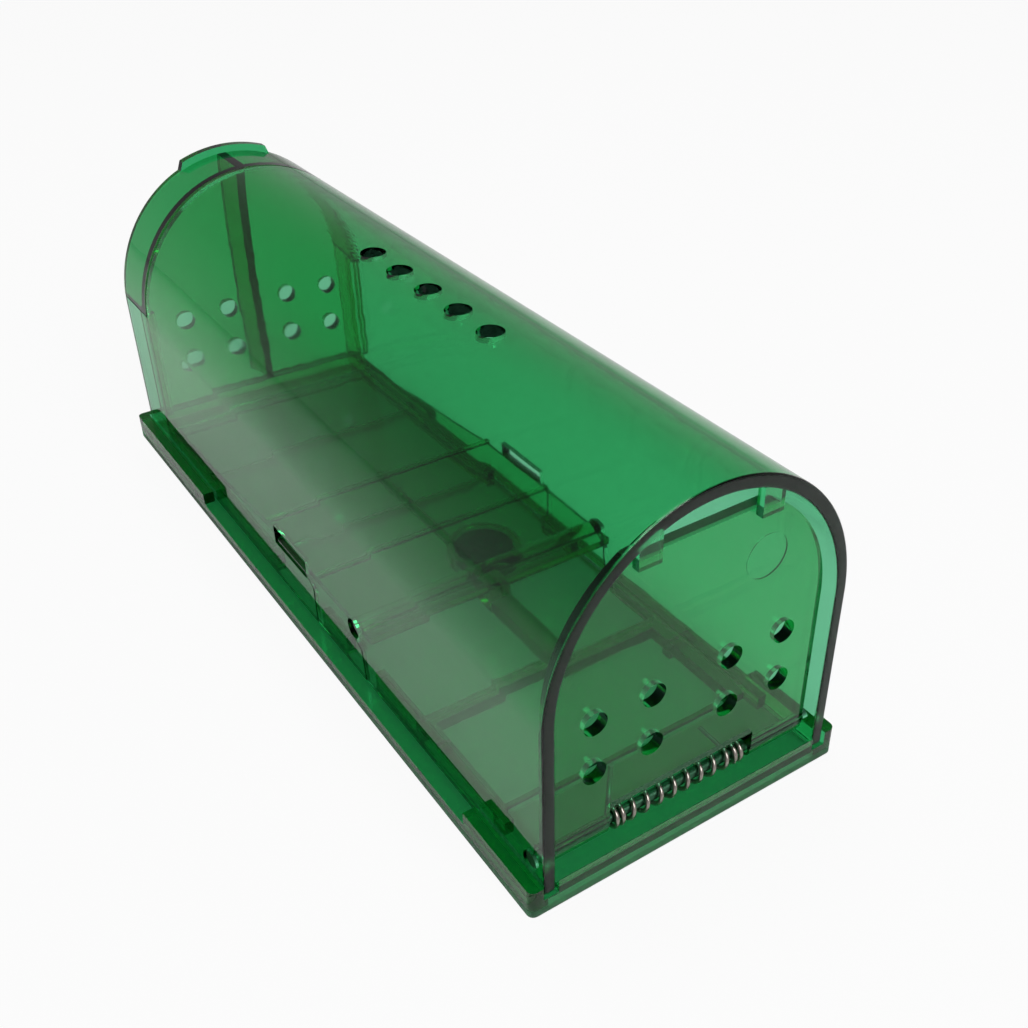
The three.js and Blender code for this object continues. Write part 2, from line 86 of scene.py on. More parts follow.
camera_data = bpy.data.cameras.new("photo_camera")
camera_data.lens = CAMERA_LENS
camera_data.sensor_width = SENSOR_WIDTH
camera_data.clip_start = NEAREST_SEEN
camera = bpy.data.objects.new("photo_camera", camera_data)
camera.matrix_world = photo_camera()
bpy.context.scene.collection.objects.link(camera)
bpy.context.scene.camera = camera
print("camera looks down by", round(math.degrees(CAMERA_TILT), 1), "degrees")

# %% [markdown]
# ## Studio
# The photograph has a white ground and soft light with no hard shadow. A large pale floor takes the
# soft shadow, and the camera sees it nearly white. The plastic mirrors and lets through the same floor
# with a smaller share of white, so the ground under the trap stays dim and green, as it is in the
# photograph. The floor and the sky mix their own shader with white in the same way.

# %% A share of white


def worked(nodes, links, operation, first, second):
    """The result of a math node. Each input is a plain number or another node's output."""
    node = nodes.new("ShaderNodeMath")
    node.operation = operation
    for socket, value in zip(node.inputs, (first, second)):
        if isinstance(value, (int, float)):
            socket.default_value = value
        else:
            links.new(value, socket)
    return node.outputs[0]


def whitened(nodes, links, shader, white_kind, output, to_camera, by_plastic):
    """Mixes a shader with white: one share for the camera, one for rays mirrored or let through."""
    path = nodes.new("ShaderNodeLightPath")
    share = worked(nodes, links, "MULTIPLY", path.outputs["Is Camera Ray"], to_camera)
    for kind in ("Is Glossy Ray", "Is Transmission Ray"):
        part = worked(nodes, links, "MULTIPLY", path.outputs[kind], by_plastic)
        share = worked(nodes, links, "MAXIMUM", share, part)
    white = nodes.new(white_kind)
    white.inputs["Color"].default_value = (1, 1, 1, 1)
    mix = nodes.new("ShaderNodeMixShader")
    links.new(share, mix.inputs["Fac"])
    links.new(shader.outputs[0], mix.inputs[1])
    links.new(white.outputs[0], mix.inputs[2])
    links.new(mix.outputs[0], output.inputs["Surface"])


print("white can be mixed into floor and sky")

# %% Floor
FLOOR_WIDTH = 6.0
FLOOR_DROP = 0.2 * MM
FLOOR_PAINT = 0.65
FLOOR_ROUGHNESS = 0.9
FLOOR_SHINE = 0.1
WHITE_TO_CAMERA = 0.92
WHITE_BY_PLASTIC = 0.18


def pale_floor():
    bm = bmesh.new()
    bmesh.ops.create_grid(bm, x_segments=1, y_segments=1, size=FLOOR_WIDTH / 2)
    bmesh.ops.translate(bm, verts=bm.verts, vec=(0, 0, -FLOOR_DROP))
    mesh = bpy.data.meshes.new("pale_floor")
    bm.to_mesh(mesh)
    bm.free()
    floor = bpy.data.objects.new("pale_floor", mesh)
    bpy.context.scene.collection.objects.link(floor)
    return floor


def floor_material():
    material = bpy.data.materials.new("pale_floor")
    material.use_nodes = True
    nodes, links = material.node_tree.nodes, material.node_tree.links
    paint = nodes["Principled BSDF"]
    paint.inputs["Base Color"].default_value = (FLOOR_PAINT, FLOOR_PAINT, FLOOR_PAINT, 1)
    paint.inputs["Roughness"].default_value = FLOOR_ROUGHNESS
    paint.inputs["Specular IOR Level"].default_value = FLOOR_SHINE
    whitened(nodes, links, paint, "ShaderNodeEmission", nodes["Material Output"],
             WHITE_TO_CAMERA, WHITE_BY_PLASTIC)
    return material


floor = pale_floor()
floor.data.materials.append(floor_material())
print("floor is", FLOOR_WIDTH, "m wide")

# %% [markdown]
# The sky is pale at the horizon and dim above, so that only the walls mirror much of it. Two large
# softboxes, one before the trap and one over it, lay the soft shadow and the highlights on the rims.

# %% Sky and lamps
HORIZON_GREY = 0.36
ZENITH_GREY = 0.08
DIM_FROM_HEIGHT = 0.75
WHITE_SKY_TO_CAMERA = 1
WHITE_SKY_BY_PLASTIC = 0.03
LAMP_AIM = Vector((0, 0, 0.03))
LAMP_WATTS = 8
KEY_PLACE = Vector((0.0, -0.8, 0.9))
KEY_SIZE = 0.7
TOP_PLACE = Vector((0.0, 0.15, 1.3))
TOP_SIZE = 0.8


def studio_world():
    world = bpy.data.worlds.new("studio")
    world.use_nodes = True
    nodes, links = world.node_tree.nodes, world.node_tree.links
    sky = nodes["Background"]
    direction = nodes.new("ShaderNodeTexCoord")
    height = nodes.new("ShaderNodeSeparateXYZ")
    links.new(direction.outputs["Generated"], height.inputs[0])
    grey = nodes.new("ShaderNodeMapRange")
    grey.interpolation_type = "SMOOTHSTEP"
    grey.inputs["From Max"].default_value = DIM_FROM_HEIGHT
    grey.inputs["To Min"].default_value = HORIZON_GREY
    grey.inputs["To Max"].default_value = ZENITH_GREY
    links.new(height.outputs["Z"], grey.inputs["Value"])
    links.new(grey.outputs["Result"], sky.inputs["Color"])
    whitened(nodes, links, sky, "ShaderNodeBackground", nodes["World Output"],
             WHITE_SKY_TO_CAMERA, WHITE_SKY_BY_PLASTIC)
    bpy.context.scene.world = world


def softbox(name, place, size):
    lamp = bpy.data.lights.new(name, "AREA")
    lamp.shape = "SQUARE"
    lamp.size = size
    lamp.energy = LAMP_WATTS
    box = bpy.data.objects.new(name, lamp)
    box.location = place
    box.rotation_mode = "QUATERNION"
    box.rotation_quaternion = (LAMP_AIM - place).to_track_quat("-Z", "Y")
    bpy.context.scene.collection.objects.link(box)


studio_world()
softbox("key_softbox", KEY_PLACE, KEY_SIZE)
softbox("top_softbox", TOP_PLACE, TOP_SIZE)
bpy.context.scene.view_settings.view_transform = "Standard"
print("studio is lit")

# %% [markdown]
# ## Helpers for moulded pieces
# Moulded plastic is made of simple bodies that run into each other: plates, ribs, arches and bosses.
# Each is shaped with bmesh operators in millimetres, then joined and cut with the Boolean modifier, as
# a moulder's tool would do it, and its mesh is brought to metres once it is whole. Joining matters
# more here than on opaque things: a hidden wall inside clear plastic would show.

# %% Loose bodies and Booleans


def verts_of(geometry):
    return [part for part in geometry if isinstance(part, bmesh.types.BMVert)]


def edges_of(geometry):
    return [part for part in geometry if isinstance(part, bmesh.types.BMEdge)]


def loose(name, bm):
    """A plain object from a bmesh in millimetres."""
    bmesh.ops.recalc_face_normals(bm, faces=bm.faces)
    mesh = bpy.data.meshes.new(name)
    bm.to_mesh(mesh)
    bm.free()
    made = bpy.data.objects.new(name, mesh)
    bpy.context.scene.collection.objects.link(made)
    return made


def baked(piece):
    """Applies a piece's modifiers to its mesh."""
    graph = bpy.context.evaluated_depsgraph_get()
    mesh = bpy.data.meshes.new_from_object(piece.evaluated_get(graph))
    piece.modifiers.clear()
    piece.data = mesh
    return piece


def combined(piece, others, operation):
    """Joins others to a piece or cuts them from it."""
    for other in others:
        step = piece.modifiers.new(operation.lower(), "BOOLEAN")
        step.operation = operation
        step.solver = "EXACT"
        step.object = other
    baked(piece)
    for other in others:
        bpy.data.objects.remove(other)
    return piece


def mirrored(piece):
    """A copy of a piece on the other side of the trap."""
    bm = bmesh.new()
    bm.from_mesh(piece.data)
    bmesh.ops.scale(bm, verts=bm.verts, vec=(-1, 1, 1))
    return loose(piece.name + "_mirrored", bm)


print("bodies can be joined, cut and mirrored")

# %% Slabs, rods and profiles
SMOOTH_ROD = 64


def bevelled(bm, edges, width, segments):
    bmesh.ops.bevel(bm, geom=edges, offset=width, segments=segments, profile=0.5,
                    affect="EDGES", material=-1)


def slab(name, x, y, z, rounding=0.0):
    """A block between pairs of X, Y and Z, with rounded edges if asked."""
    bm = bmesh.new()
    bmesh.ops.create_cube(bm, size=1)
    bmesh.ops.scale(bm, verts=bm.verts, vec=(x[1] - x[0], y[1] - y[0], z[1] - z[0]))
    middle = ((x[0] + x[1]) / 2, (y[0] + y[1]) / 2, (z[0] + z[1]) / 2)
    bmesh.ops.translate(bm, verts=bm.verts, vec=middle)
    if rounding:
        bevelled(bm, bm.edges, rounding, 2)
    return loose(name, bm)


def rod(name, axis, centre, radius, low, high, segments=48):
    """A round bar or cutter along X, Y or Z, from low to high."""
    bm = bmesh.new()
    bmesh.ops.create_cone(bm, cap_ends=True, segments=segments, radius1=radius, radius2=radius,
                          depth=high - low)
    middle = (low + high) / 2
    turn, place = {
        "X": (Matrix.Rotation(math.pi / 2, 3, "Y"), (middle, *centre)),
        "Y": (Matrix.Rotation(-math.pi / 2, 3, "X"), (centre[0], middle, centre[1])),
        "Z": (Matrix.Identity(3), (*centre, middle)),
    }[axis]
    bmesh.ops.rotate(bm, verts=bm.verts, matrix=turn)
    bmesh.ops.translate(bm, verts=bm.verts, vec=place)
    return loose(name, bm)


def profile(name, points, axis, low, high):
    """An outline made one face and extruded. Axis X takes (y, z), Y takes (x, z) and Z takes (x, y)."""
    bm = bmesh.new()
    run = high - low
    if axis == "X":
        corners = [(low, a, b) for a, b in points]
        way = (run, 0, 0)
    elif axis == "Y":
        corners = [(a, low, b) for a, b in points]
        way = (0, run, 0)
    else:
        corners = [(a, b, low) for a, b in points]
        way = (0, 0, run)
    face = bm.faces.new([bm.verts.new(corner) for corner in corners])
    swept = bmesh.ops.extrude_face_region(bm, geom=[face])
    bmesh.ops.translate(bm, verts=verts_of(swept["geom"]), vec=way)
    return loose(name, bm)


print("slabs, rods and profiles can be made")

# %% Finishing a piece
SAME_POINT = 0.002
CREASE = 35


def rounded(piece, width, angle=50):
    """A small round on each edge of a finished moulding that is sharper than the angle."""
    step = piece.modifiers.new("rounded", "BEVEL")
    step.width = width
    step.segments = 2
    step.limit_method = "ANGLE"
    step.angle_limit = math.radians(angle)
    step.use_clamp_overlap = True
    return baked(piece)


def open_edges(mesh):
    bm = bmesh.new()
    bm.from_mesh(mesh)
    count = sum(1 for edge in bm.edges if not edge.is_manifold)
    bm.free()
    return count


def dressed(piece, name, body, node, material, crease=CREASE):
    """Brings a whole piece to metres, smooths it, gives it its finish and sets it on its body."""
    bm = bmesh.new()
    bm.from_mesh(piece.data)
    bmesh.ops.remove_doubles(bm, verts=bm.verts, dist=SAME_POINT)
    bmesh.ops.scale(bm, verts=bm.verts, vec=(MM, MM, MM))
    bm.to_mesh(piece.data)
    bm.free()
    piece.name = name
    piece.data.name = name
    piece.data.polygons.foreach_set("use_smooth", [True] * len(piece.data.polygons))
    piece.data.set_sharp_from_angle(angle=math.radians(crease))
    piece.data.materials.clear()
    even = piece.modifiers.new("even_shading", "WEIGHTED_NORMAL")
    even.keep_sharp = True
    baked(piece)
    piece.data.materials.append(material)
    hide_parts(node)
    if body:
        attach(piece, body)
    print(name, "has", len(piece.data.polygons), "faces and", open_edges(piece.data), "open edges")
    return piece


print("pieces can be finished")

# %% [markdown]
# ## Clear green plastic
# The plastic is dyed all the way through, so thick ribs look darker than thin walls. A tint on the
# surface can't do that, and a Volume Absorption node can: light loses red and blue along its way
# through the wall. The surface adds a faint unevenness, because moulded plastic is never optically
# flat, and that effect is a node group since each plastic piece uses it. The group also makes one end
# of a piece matt: the tray's underside, the door's top, the rim of the mouth, the cap's seam and the
# treadle's arm scatter light, so they look green and soft where a polished face would be black.

# %% Surface effects
RIPPLE_SIZE = 60
RIPPLE_DETAIL = 2
RIPPLE_RANGE = (0.3, 0.7)
HAZE = (0.015, 0.05)


def moulded_surface_group():
    group = bpy.data.node_groups.new("moulded_surface", "ShaderNodeTree")
    for name, kind in (("Ripple Size", "Float"), ("Haze Low", "Float"), ("Haze High", "Float"),
                       ("Matt Way", "Vector"), ("Matt From", "Float"), ("Matt Roughness", "Float"),
                       ("Tint Thin", "Color"), ("Tint Deep", "Color")):
        group.interface.new_socket(name, in_out="INPUT", socket_type="NodeSocket" + kind)
    for name, kind in (("Color", "Color"), ("Roughness", "Float"), ("Height", "Float")):
        group.interface.new_socket(name, in_out="OUTPUT", socket_type="NodeSocket" + kind)
    nodes, links = group.nodes, group.links
    inside = nodes.new("NodeGroupInput")
    outside = nodes.new("NodeGroupOutput")
    place = nodes.new("ShaderNodeTexCoord")
    ripple = nodes.new("ShaderNodeTexNoise")
    ripple.inputs["Detail"].default_value = RIPPLE_DETAIL
    links.new(place.outputs["Object"], ripple.inputs["Vector"])
    links.new(inside.outputs["Ripple Size"], ripple.inputs["Scale"])
    links.new(ripple.outputs["Fac"], outside.inputs["Height"])
    haze = nodes.new("ShaderNodeMapRange")
    haze.inputs["From Min"].default_value = RIPPLE_RANGE[0]
    haze.inputs["From Max"].default_value = RIPPLE_RANGE[1]
    links.new(ripple.outputs["Fac"], haze.inputs["Value"])
    links.new(inside.outputs["Haze Low"], haze.inputs["To Min"])
    links.new(inside.outputs["Haze High"], haze.inputs["To Max"])
    along = nodes.new("ShaderNodeVectorMath")
    along.operation = "DOT_PRODUCT"
    links.new(place.outputs["Object"], along.inputs[0])
    links.new(inside.outputs["Matt Way"], along.inputs[1])
    past = worked(nodes, links, "GREATER_THAN", along.outputs["Value"], inside.outputs["Matt From"])
    matt = worked(nodes, links, "MULTIPLY", past, inside.outputs["Matt Roughness"])
    rougher = worked(nodes, links, "MAXIMUM", haze.outputs["Result"], matt)
    links.new(rougher, outside.inputs["Roughness"])
    tint = nodes.new("ShaderNodeMix")
    tint.data_type = "RGBA"
    links.new(ripple.outputs["Fac"], tint.inputs["Factor"])
    links.new(inside.outputs["Tint Thin"], tint.inputs["A"])
    links.new(inside.outputs["Tint Deep"], tint.inputs["B"])
    links.new(tint.outputs["Result"], outside.inputs["Color"])
    return group


MOULDED = moulded_surface_group()
print("surface group has", len(MOULDED.nodes), "nodes")

# %% [markdown]
# Each piece has its own strength of dye, tuned so that its colour matches the photograph's, and its own
# matt end, given as a direction, how far along it the matt part starts, in metres, and a roughness. All
# pieces are one plastic, so the stronger dye of the tray, the treadle, the door and the cap, and the
# deeper tints of the tray and the treadle, are partly painted shade: they darken these pieces as the
# dim ground under and behind them does.

# %% Plastic materials
PLASTIC_IOR = 1.44
BUMP_STRENGTH = 0.1
BUMP_DISTANCE = 0.0006
DYE_LEFT = (0.15, 0.84, 0.55)
PALE_TINTS = ((0.86, 0.98, 0.9), (0.8, 0.96, 0.86))
DEEP_TINTS = ((0.84, 0.97, 0.88), (0.78, 0.95, 0.84))
MATT_MOUTH = ((0, -1, 0), 88.5 * MM, 0.35)
MATT_DOOR_TOP = ((0, 0, 1), 58.6 * MM, 0.6)
MATT_UNDERSIDE = ((0, 0, -1), -1.5 * MM, 0.5)
MATT_ARM = ((0, -1, 0), 32.2 * MM, 0.6)
MATT_SEAM = ((0, -1, 0), -71.9 * MM, 0.5)


def clear_plastic(name, tints, dye_and_shade, matt):
    material = bpy.data.materials.new(name)
    material.use_nodes = True
    nodes, links = material.node_tree.nodes, material.node_tree.links
    plastic = nodes["Principled BSDF"]
    plastic.inputs["Transmission Weight"].default_value = 1
    plastic.inputs["IOR"].default_value = PLASTIC_IOR
    surface = nodes.new("ShaderNodeGroup")
    surface.node_tree = MOULDED
    surface.inputs["Ripple Size"].default_value = RIPPLE_SIZE
    surface.inputs["Haze Low"].default_value = HAZE[0]
    surface.inputs["Haze High"].default_value = HAZE[1]
    surface.inputs["Matt Way"].default_value = matt[0]
    surface.inputs["Matt From"].default_value = matt[1]
    surface.inputs["Matt Roughness"].default_value = matt[2]
    surface.inputs["Tint Thin"].default_value = (*tints[0], 1)
    surface.inputs["Tint Deep"].default_value = (*tints[1], 1)
    bump = nodes.new("ShaderNodeBump")
    bump.inputs["Strength"].default_value = BUMP_STRENGTH
    bump.inputs["Distance"].default_value = BUMP_DISTANCE
    links.new(surface.outputs["Height"], bump.inputs["Height"])
    links.new(bump.outputs["Normal"], plastic.inputs["Normal"])
    links.new(surface.outputs["Color"], plastic.inputs["Base Color"])
    links.new(surface.outputs["Roughness"], plastic.inputs["Roughness"])
    dyed = nodes.new("ShaderNodeVolumeAbsorption")
    dyed.inputs["Color"].default_value = (*DYE_LEFT, 1)
    dyed.inputs["Density"].default_value = dye_and_shade
    links.new(dyed.outputs[0], nodes["Material Output"].inputs["Volume"])
    return material


# painted shade, in part: the tray, treadle, door and cap get stronger dye than the tunnel, and the tray and
# treadle deeper tints, to darken them as the dim ground under and behind them does
TUNNEL_PLASTIC = clear_plastic("tunnel_plastic", PALE_TINTS, dye_and_shade=600, matt=MATT_MOUTH)
DOOR_PLASTIC = clear_plastic("door_plastic", PALE_TINTS, dye_and_shade=850, matt=MATT_DOOR_TOP)
TRAY_PLASTIC = clear_plastic("tray_plastic", DEEP_TINTS, dye_and_shade=1000, matt=MATT_UNDERSIDE)
TREADLE_PLASTIC = clear_plastic("treadle_plastic", DEEP_TINTS, dye_and_shade=700, matt=MATT_ARM)
CAP_PLASTIC = clear_plastic("cap_plastic", PALE_TINTS, dye_and_shade=1500, matt=MATT_SEAM)
print("five plastic finishes made")

# %% [markdown]
# ## Steel
# Three small pieces are metal: the pin, the wound spring and the dark weight. Each is a full metal
# whose colour and roughness wander a little along the surface, as drawn wire and turned steel do. The
# pin's green tone is a painted reflection of the green plastic that it mirrors among the coils.

# %% Steel materials
GRAIN_DETAIL = 4
SMOOTHER, ROUGHER = 0.7, 1.3


def steel(name, light, dark, rough, grain):
    material = bpy.data.materials.new(name)
    material.use_nodes = True
    nodes, links = material.node_tree.nodes, material.node_tree.links
    metal = nodes["Principled BSDF"]
    metal.inputs["Metallic"].default_value = 1
    place = nodes.new("ShaderNodeTexCoord")
    noise = nodes.new("ShaderNodeTexNoise")
    noise.inputs["Scale"].default_value = grain
    noise.inputs["Detail"].default_value = GRAIN_DETAIL
    links.new(place.outputs["Object"], noise.inputs["Vector"])
    tone = nodes.new("ShaderNodeMix")
    tone.data_type = "RGBA"
    tone.inputs["A"].default_value = (*light, 1)
    tone.inputs["B"].default_value = (*dark, 1)
    links.new(noise.outputs["Fac"], tone.inputs["Factor"])
    links.new(tone.outputs["Result"], metal.inputs["Base Color"])
    wear = nodes.new("ShaderNodeMapRange")
    wear.inputs["To Min"].default_value = rough * SMOOTHER
    wear.inputs["To Max"].default_value = rough * ROUGHER
    links.new(noise.outputs["Fac"], wear.inputs["Value"])
    links.new(wear.outputs["Result"], metal.inputs["Roughness"])
    return material


# painted reflection: the pin's green tones stand for the green plastic that it mirrors, not for the steel's
# own colour
PIN_STEEL_PAINTED_REFLECTION = steel("pin_steel", light=(0.08, 0.22, 0.13), dark=(0.04, 0.13, 0.07), rough=0.35, grain=900)
SPRING_STEEL = steel("spring_steel", light=(0.55, 0.5, 0.45), dark=(0.28, 0.25, 0.22), rough=0.3,
                     grain=1200)
WEIGHT_STEEL = steel("weight_steel", light=(0.12, 0.12, 0.12), dark=(0.05, 0.05, 0.05), rough=0.5,
                     grain=600)
print("three steel finishes made")

# %% [markdown]
# ## Sizes that the pieces share
# The tunnel's section is a straight wall under half an ellipse, and the door, the bait cap and the
# lugs all follow it. These values come first, so that each piece can be drawn from them. They are in
# millimetres, as the rest of the shapes are. HINGE and AXLE are points (y, z), and other pairs are the
# two ends of a span. The last three spans are for cutters, which reach well past what they cut.

# %% Shared sizes
WALL = 2.2
HALF_OUT = 28.9
HALF_IN = HALF_OUT - WALL
ARCH_START = 36.24
CROWN_OUT = 67.05
CROWN_IN = CROWN_OUT - WALL
TUNNEL_FRONT = -88.62
TUNNEL_REAR = 86.82
TUNNEL_FOOT = 3.3
SEAM = 38.14
ARCH_REAR = TUNNEL_REAR - 15.84
HINGE = (-84.7, 7.6)
AXLE = (-26.8, 13.7)
DOOR_OUTER = -86.6
DOOR_INNER = -84.6
EARS = (-6.5, 7.5)
TREADLE_FOOT = 12.9
TREADLE_TOP = 14.5
EAR_RISE = 2.09
CAP_PLATE = (74.0, 76.0)
HOLE_COLUMNS = (-18.3, -7.5, 7.5, 18.3)
HOLE_RADIUS = 2.15
PIN_RADIUS = 0.9
PIN_HEAD = 1.5
COIL_MIDDLE = -0.6
SILL = 4.2
CLEARANCE = 0.3
ONE_POINT = 1e-4
ACROSS = (-40, 40)
FRONT_END = (-100, -70)
REAR_END = (60, 100)
print("tunnel is", round(TUNNEL_REAR - TUNNEL_FRONT, 2), "mm long inside the sizes")

# %% The tunnel's section


def arch(name, half, crown, foot, y, steps, wall=0.0, rounding=0.0):
    """The tunnel's section between two Y, solid or with a wall, spun over the top and drawn down."""
    bm = bmesh.new()
    inner = half - wall if wall else 0
    start = [bm.verts.new((x, y[0], ARCH_START)) for x in (half, inner)]
    edge = bm.edges.new(start)
    bmesh.ops.spin(bm, geom=start + [edge], cent=(0, 0, ARCH_START), axis=(0, -1, 0),
                   angle=math.pi, steps=steps)
    bmesh.ops.remove_doubles(bm, verts=bm.verts, dist=ONE_POINT)
    rise = (crown - ARCH_START) / half
    bmesh.ops.scale(bm, verts=bm.verts, vec=(1, 1, rise), space=Matrix.Translation((0, 0, -ARCH_START)))
    flat = [e for e in bm.edges if all(abs(v.co.z - ARCH_START) < ONE_POINT for v in e.verts)]
    drawn = bmesh.ops.extrude_edge_only(bm, edges=flat)
    bmesh.ops.translate(bm, verts=verts_of(drawn["geom"]), vec=(0, 0, foot - ARCH_START))
    bmesh.ops.recalc_face_normals(bm, faces=bm.faces)
    swept = bmesh.ops.extrude_face_region(bm, geom=list(bm.faces))
    bmesh.ops.translate(bm, verts=verts_of(swept["geom"]), vec=(0, y[1] - y[0], 0))
    bmesh.ops.recalc_face_normals(bm, faces=bm.faces)
    if rounding:
        sharp = [e for e in bm.edges if len(e.link_faces) == 2 and e.calc_face_angle() > math.radians(60)]
        bevelled(bm, sharp, rounding, 3)
    return loose(name, bm)


print("arches can be made")

# %% [markdown]
# ## Tunnel
# The clear shell is what the eye meets first. Its section is spun over the top from one edge, drawn
# down to the feet and extruded along the trap, and its rims get a small round before anything is cut,
# because that round makes the dark and bright lines along the mouth. Vents, windows, slits and the
# room for the bait cap are then cut with shaped cutters.

# %% Tunnel
TUNNEL_STEPS = 128
RIM_ROUND = 0.45
CUT_ROUND = 0.12
CUT_ANGLE = 65
LUG = [(9, 57.8), (13, 57.8), (13, 62.3), (9, 64.3)]
GUIDE_X = (25.2, 27.8)
GUIDES_Y = ((72.0, 73.7), (76.3, 78.0))
GUIDE_Z = (12, SEAM + 1)
GUIDE_ROUND = 0.2
CAP_ROOM_TOP = 90
VENTS = 5
VENT_MIDDLE = -10.49
VENT_PITCH = 10.46
VENT_RADIUS = 2.5
VENT_Z = (60, 72)
WINDOW_PLAY = 0.5
AXLE_HOLE = 2.1
HEAD_SEAT = 1.6
SLIT = 0.5
WINDOW_SLIT = ((EARS[0] - 0.3, 13.9), (-10.0, 11.9), -10.0)
AXLE_SLIT = ((-27.3, 12.1), (-30.0, 10.3), -30.9)


def slit(name, top, kink, foot_y):
    """A cutter for a thin kinked relief slit that opens at the foot. Top and kink are (y, z)."""
    foot_z = TUNNEL_FOOT - 3
    points = [(foot_y, foot_z), (foot_y + SLIT, foot_z), (kink[0] + SLIT, kink[1]),
              (top[0] + SLIT, top[1]), top, kink]
    return profile(name, points, "X", *ACROSS)


def tunnel_cuts():
    cuts = [slab("cap_room", ACROSS, (ARCH_REAR, REAR_END[1]), (SEAM, CAP_ROOM_TOP))]
    for i in range(VENTS):
        y = VENT_MIDDLE + (i - VENTS // 2) * VENT_PITCH
        cuts.append(rod("vent", "Z", (0, y), VENT_RADIUS, *VENT_Z, segments=SMOOTH_ROD))
    window_z = (TREADLE_FOOT - CLEARANCE, TREADLE_TOP + EAR_RISE + CLEARANCE)
    cuts.append(slab("window", ACROSS, (EARS[0] - WINDOW_PLAY, EARS[1] + WINDOW_PLAY), window_z))
    cuts.append(slit("window_slit", *WINDOW_SLIT))
    cuts.append(rod("axle_hole", "X", AXLE, AXLE_HOLE, *ACROSS))
    cuts.append(slit("axle_slit", *AXLE_SLIT))
    cuts.append(rod("pin_hole", "X", HINGE, PIN_RADIUS + CLEARANCE, *ACROSS))
    cuts.append(rod("pin_head_seat", "X", HINGE, PIN_HEAD + CLEARANCE, ACROSS[0], -HALF_OUT + HEAD_SEAT))
    return cuts


def tunnel():
    shell = arch("tunnel", HALF_OUT, CROWN_OUT, TUNNEL_FOOT, (TUNNEL_FRONT, TUNNEL_REAR),
                 steps=TUNNEL_STEPS, wall=WALL, rounding=RIM_ROUND)
    print("tunnel section made with", len(shell.data.polygons), "faces")
    extras = [profile("lug", LUG, "Y", TUNNEL_FRONT + CLEARANCE, DOOR_OUTER - CLEARANCE)]
    for y in GUIDES_Y:
        extras.append(slab("guide", GUIDE_X, y, GUIDE_Z, GUIDE_ROUND))
    combined(shell, extras + [mirrored(extra) for extra in extras], "UNION")
    return rounded(combined(shell, tunnel_cuts(), "DIFFERENCE"), CUT_ROUND, CUT_ANGLE)


dressed(tunnel(), "clear_tunnel", "housing", "tunnel_shell", TUNNEL_PLASTIC)

# %% [markdown]
# ## Tray
# The tray is a shallow moulding: a thin cored floor with a skirt, a curb round each end outside the
# walls, upstands inside them with gaps at the treadle's ears and axle, a raised pad before the treadle
# and a bulkhead under the bait cap's plate. It is built from slabs that run into each other, and small
# rounds on the finished edges catch the light along the curbs.

# %% Tray sizes
TRAY_HALF = 31.65
TRAY_FRONT = -89.0
TRAY_REAR = 89.0
CORNER = 1.2
CORNER_STEPS = 4
FLANGE = 3.0
CURB = 5.62
CURB_FOOT = 0.5
CURB_ROOM = 29.2
CURB_SLOT_Y = (-100, -80)
FRONT_CURB = 19.7
REAR_CURB = 44.8
FLOOR_PLATE = 1.6
SKIRT = 2.0
SIDE_SKIRT = 3.8
RIB = 2.0
BAYS = 5
ROOT = 1.5
UPSTAND = (24.6, 26.4)
UPSTAND_Y = (-76, 76)
UPSTAND_TOP = 6.9
GAP_X = (20, 30)
EAR_GAP = (-10.3, 11.3)
AXLE_GAP = (AXLE[0] - 5.8, AXLE[0] + 5.8)
SILL_REAR = -72.0
PAD_HALF = 25.5
PAD_Y = (-72.5, -46.6)
PAD_TOP = 5.8
PAD_BAY_HALF = 23.0
PAD_BAY_Y = (-70.9, -48.2)
BULKHEAD_TOP = 11.7
ABOVE = (FLANGE, 20)
BELOW = -5
TRAY_ROUND = 0.18
print("tray is", TRAY_REAR - TRAY_FRONT, "mm long")

# %% Tray


def tray_outline():
    points = []
    for sx, sy, first in ((1, -1, -90), (1, 1, 0), (-1, 1, 90), (-1, -1, 180)):
        cx, cy = sx * (TRAY_HALF - CORNER), sy * (TRAY_REAR - CORNER)
        for i in range(CORNER_STEPS + 1):
            a = math.radians(first + 90 * i / CORNER_STEPS)
            points.append((cx + CORNER * math.cos(a), cy + CORNER * math.sin(a)))
    return points


def curbs():
    rim = profile("rim", tray_outline(), "Z", CURB_FOOT, CURB)
    inner = UPSTAND[1]
    return combined(rim, [
        slab("inside", (-CURB_ROOM, CURB_ROOM), (TUNNEL_FRONT - CLEARANCE, TUNNEL_REAR + CLEARANCE), ABOVE),
        slab("between", ACROSS, (TRAY_FRONT + FRONT_CURB, TRAY_REAR - REAR_CURB), ABOVE),
        slab("slot_right", (inner, CURB_ROOM), CURB_SLOT_Y, ABOVE),
        slab("slot_left", (-CURB_ROOM, -inner), CURB_SLOT_Y, ABOVE),
    ], "DIFFERENCE")


def upstands():
    upstand = slab("upstand", UPSTAND, UPSTAND_Y, (ROOT, UPSTAND_TOP))
    gaps = [slab("ear_gap", GAP_X, EAR_GAP, ABOVE), slab("axle_gap", GAP_X, AXLE_GAP, ABOVE)]
    combined(upstand, gaps, "DIFFERENCE")
    return [upstand, mirrored(upstand)]


def bays():
    """Cutters for the hollows under the floor, one row along the trap and one under the pad."""
    made = []
    pitch = (TRAY_REAR - TRAY_FRONT - 2 * SKIRT + RIB) / BAYS
    for i in range(BAYS):
        y0 = TRAY_FRONT + SKIRT + i * pitch
        made.append(slab("bay", (-TRAY_HALF + SIDE_SKIRT, TRAY_HALF - SIDE_SKIRT),
                         (y0, y0 + pitch - RIB), (BELOW, FLANGE - FLOOR_PLATE)))
    made.append(slab("pad_bay", (-PAD_BAY_HALF, PAD_BAY_HALF), PAD_BAY_Y, (BELOW, PAD_TOP - FLOOR_PLATE)))
    return made


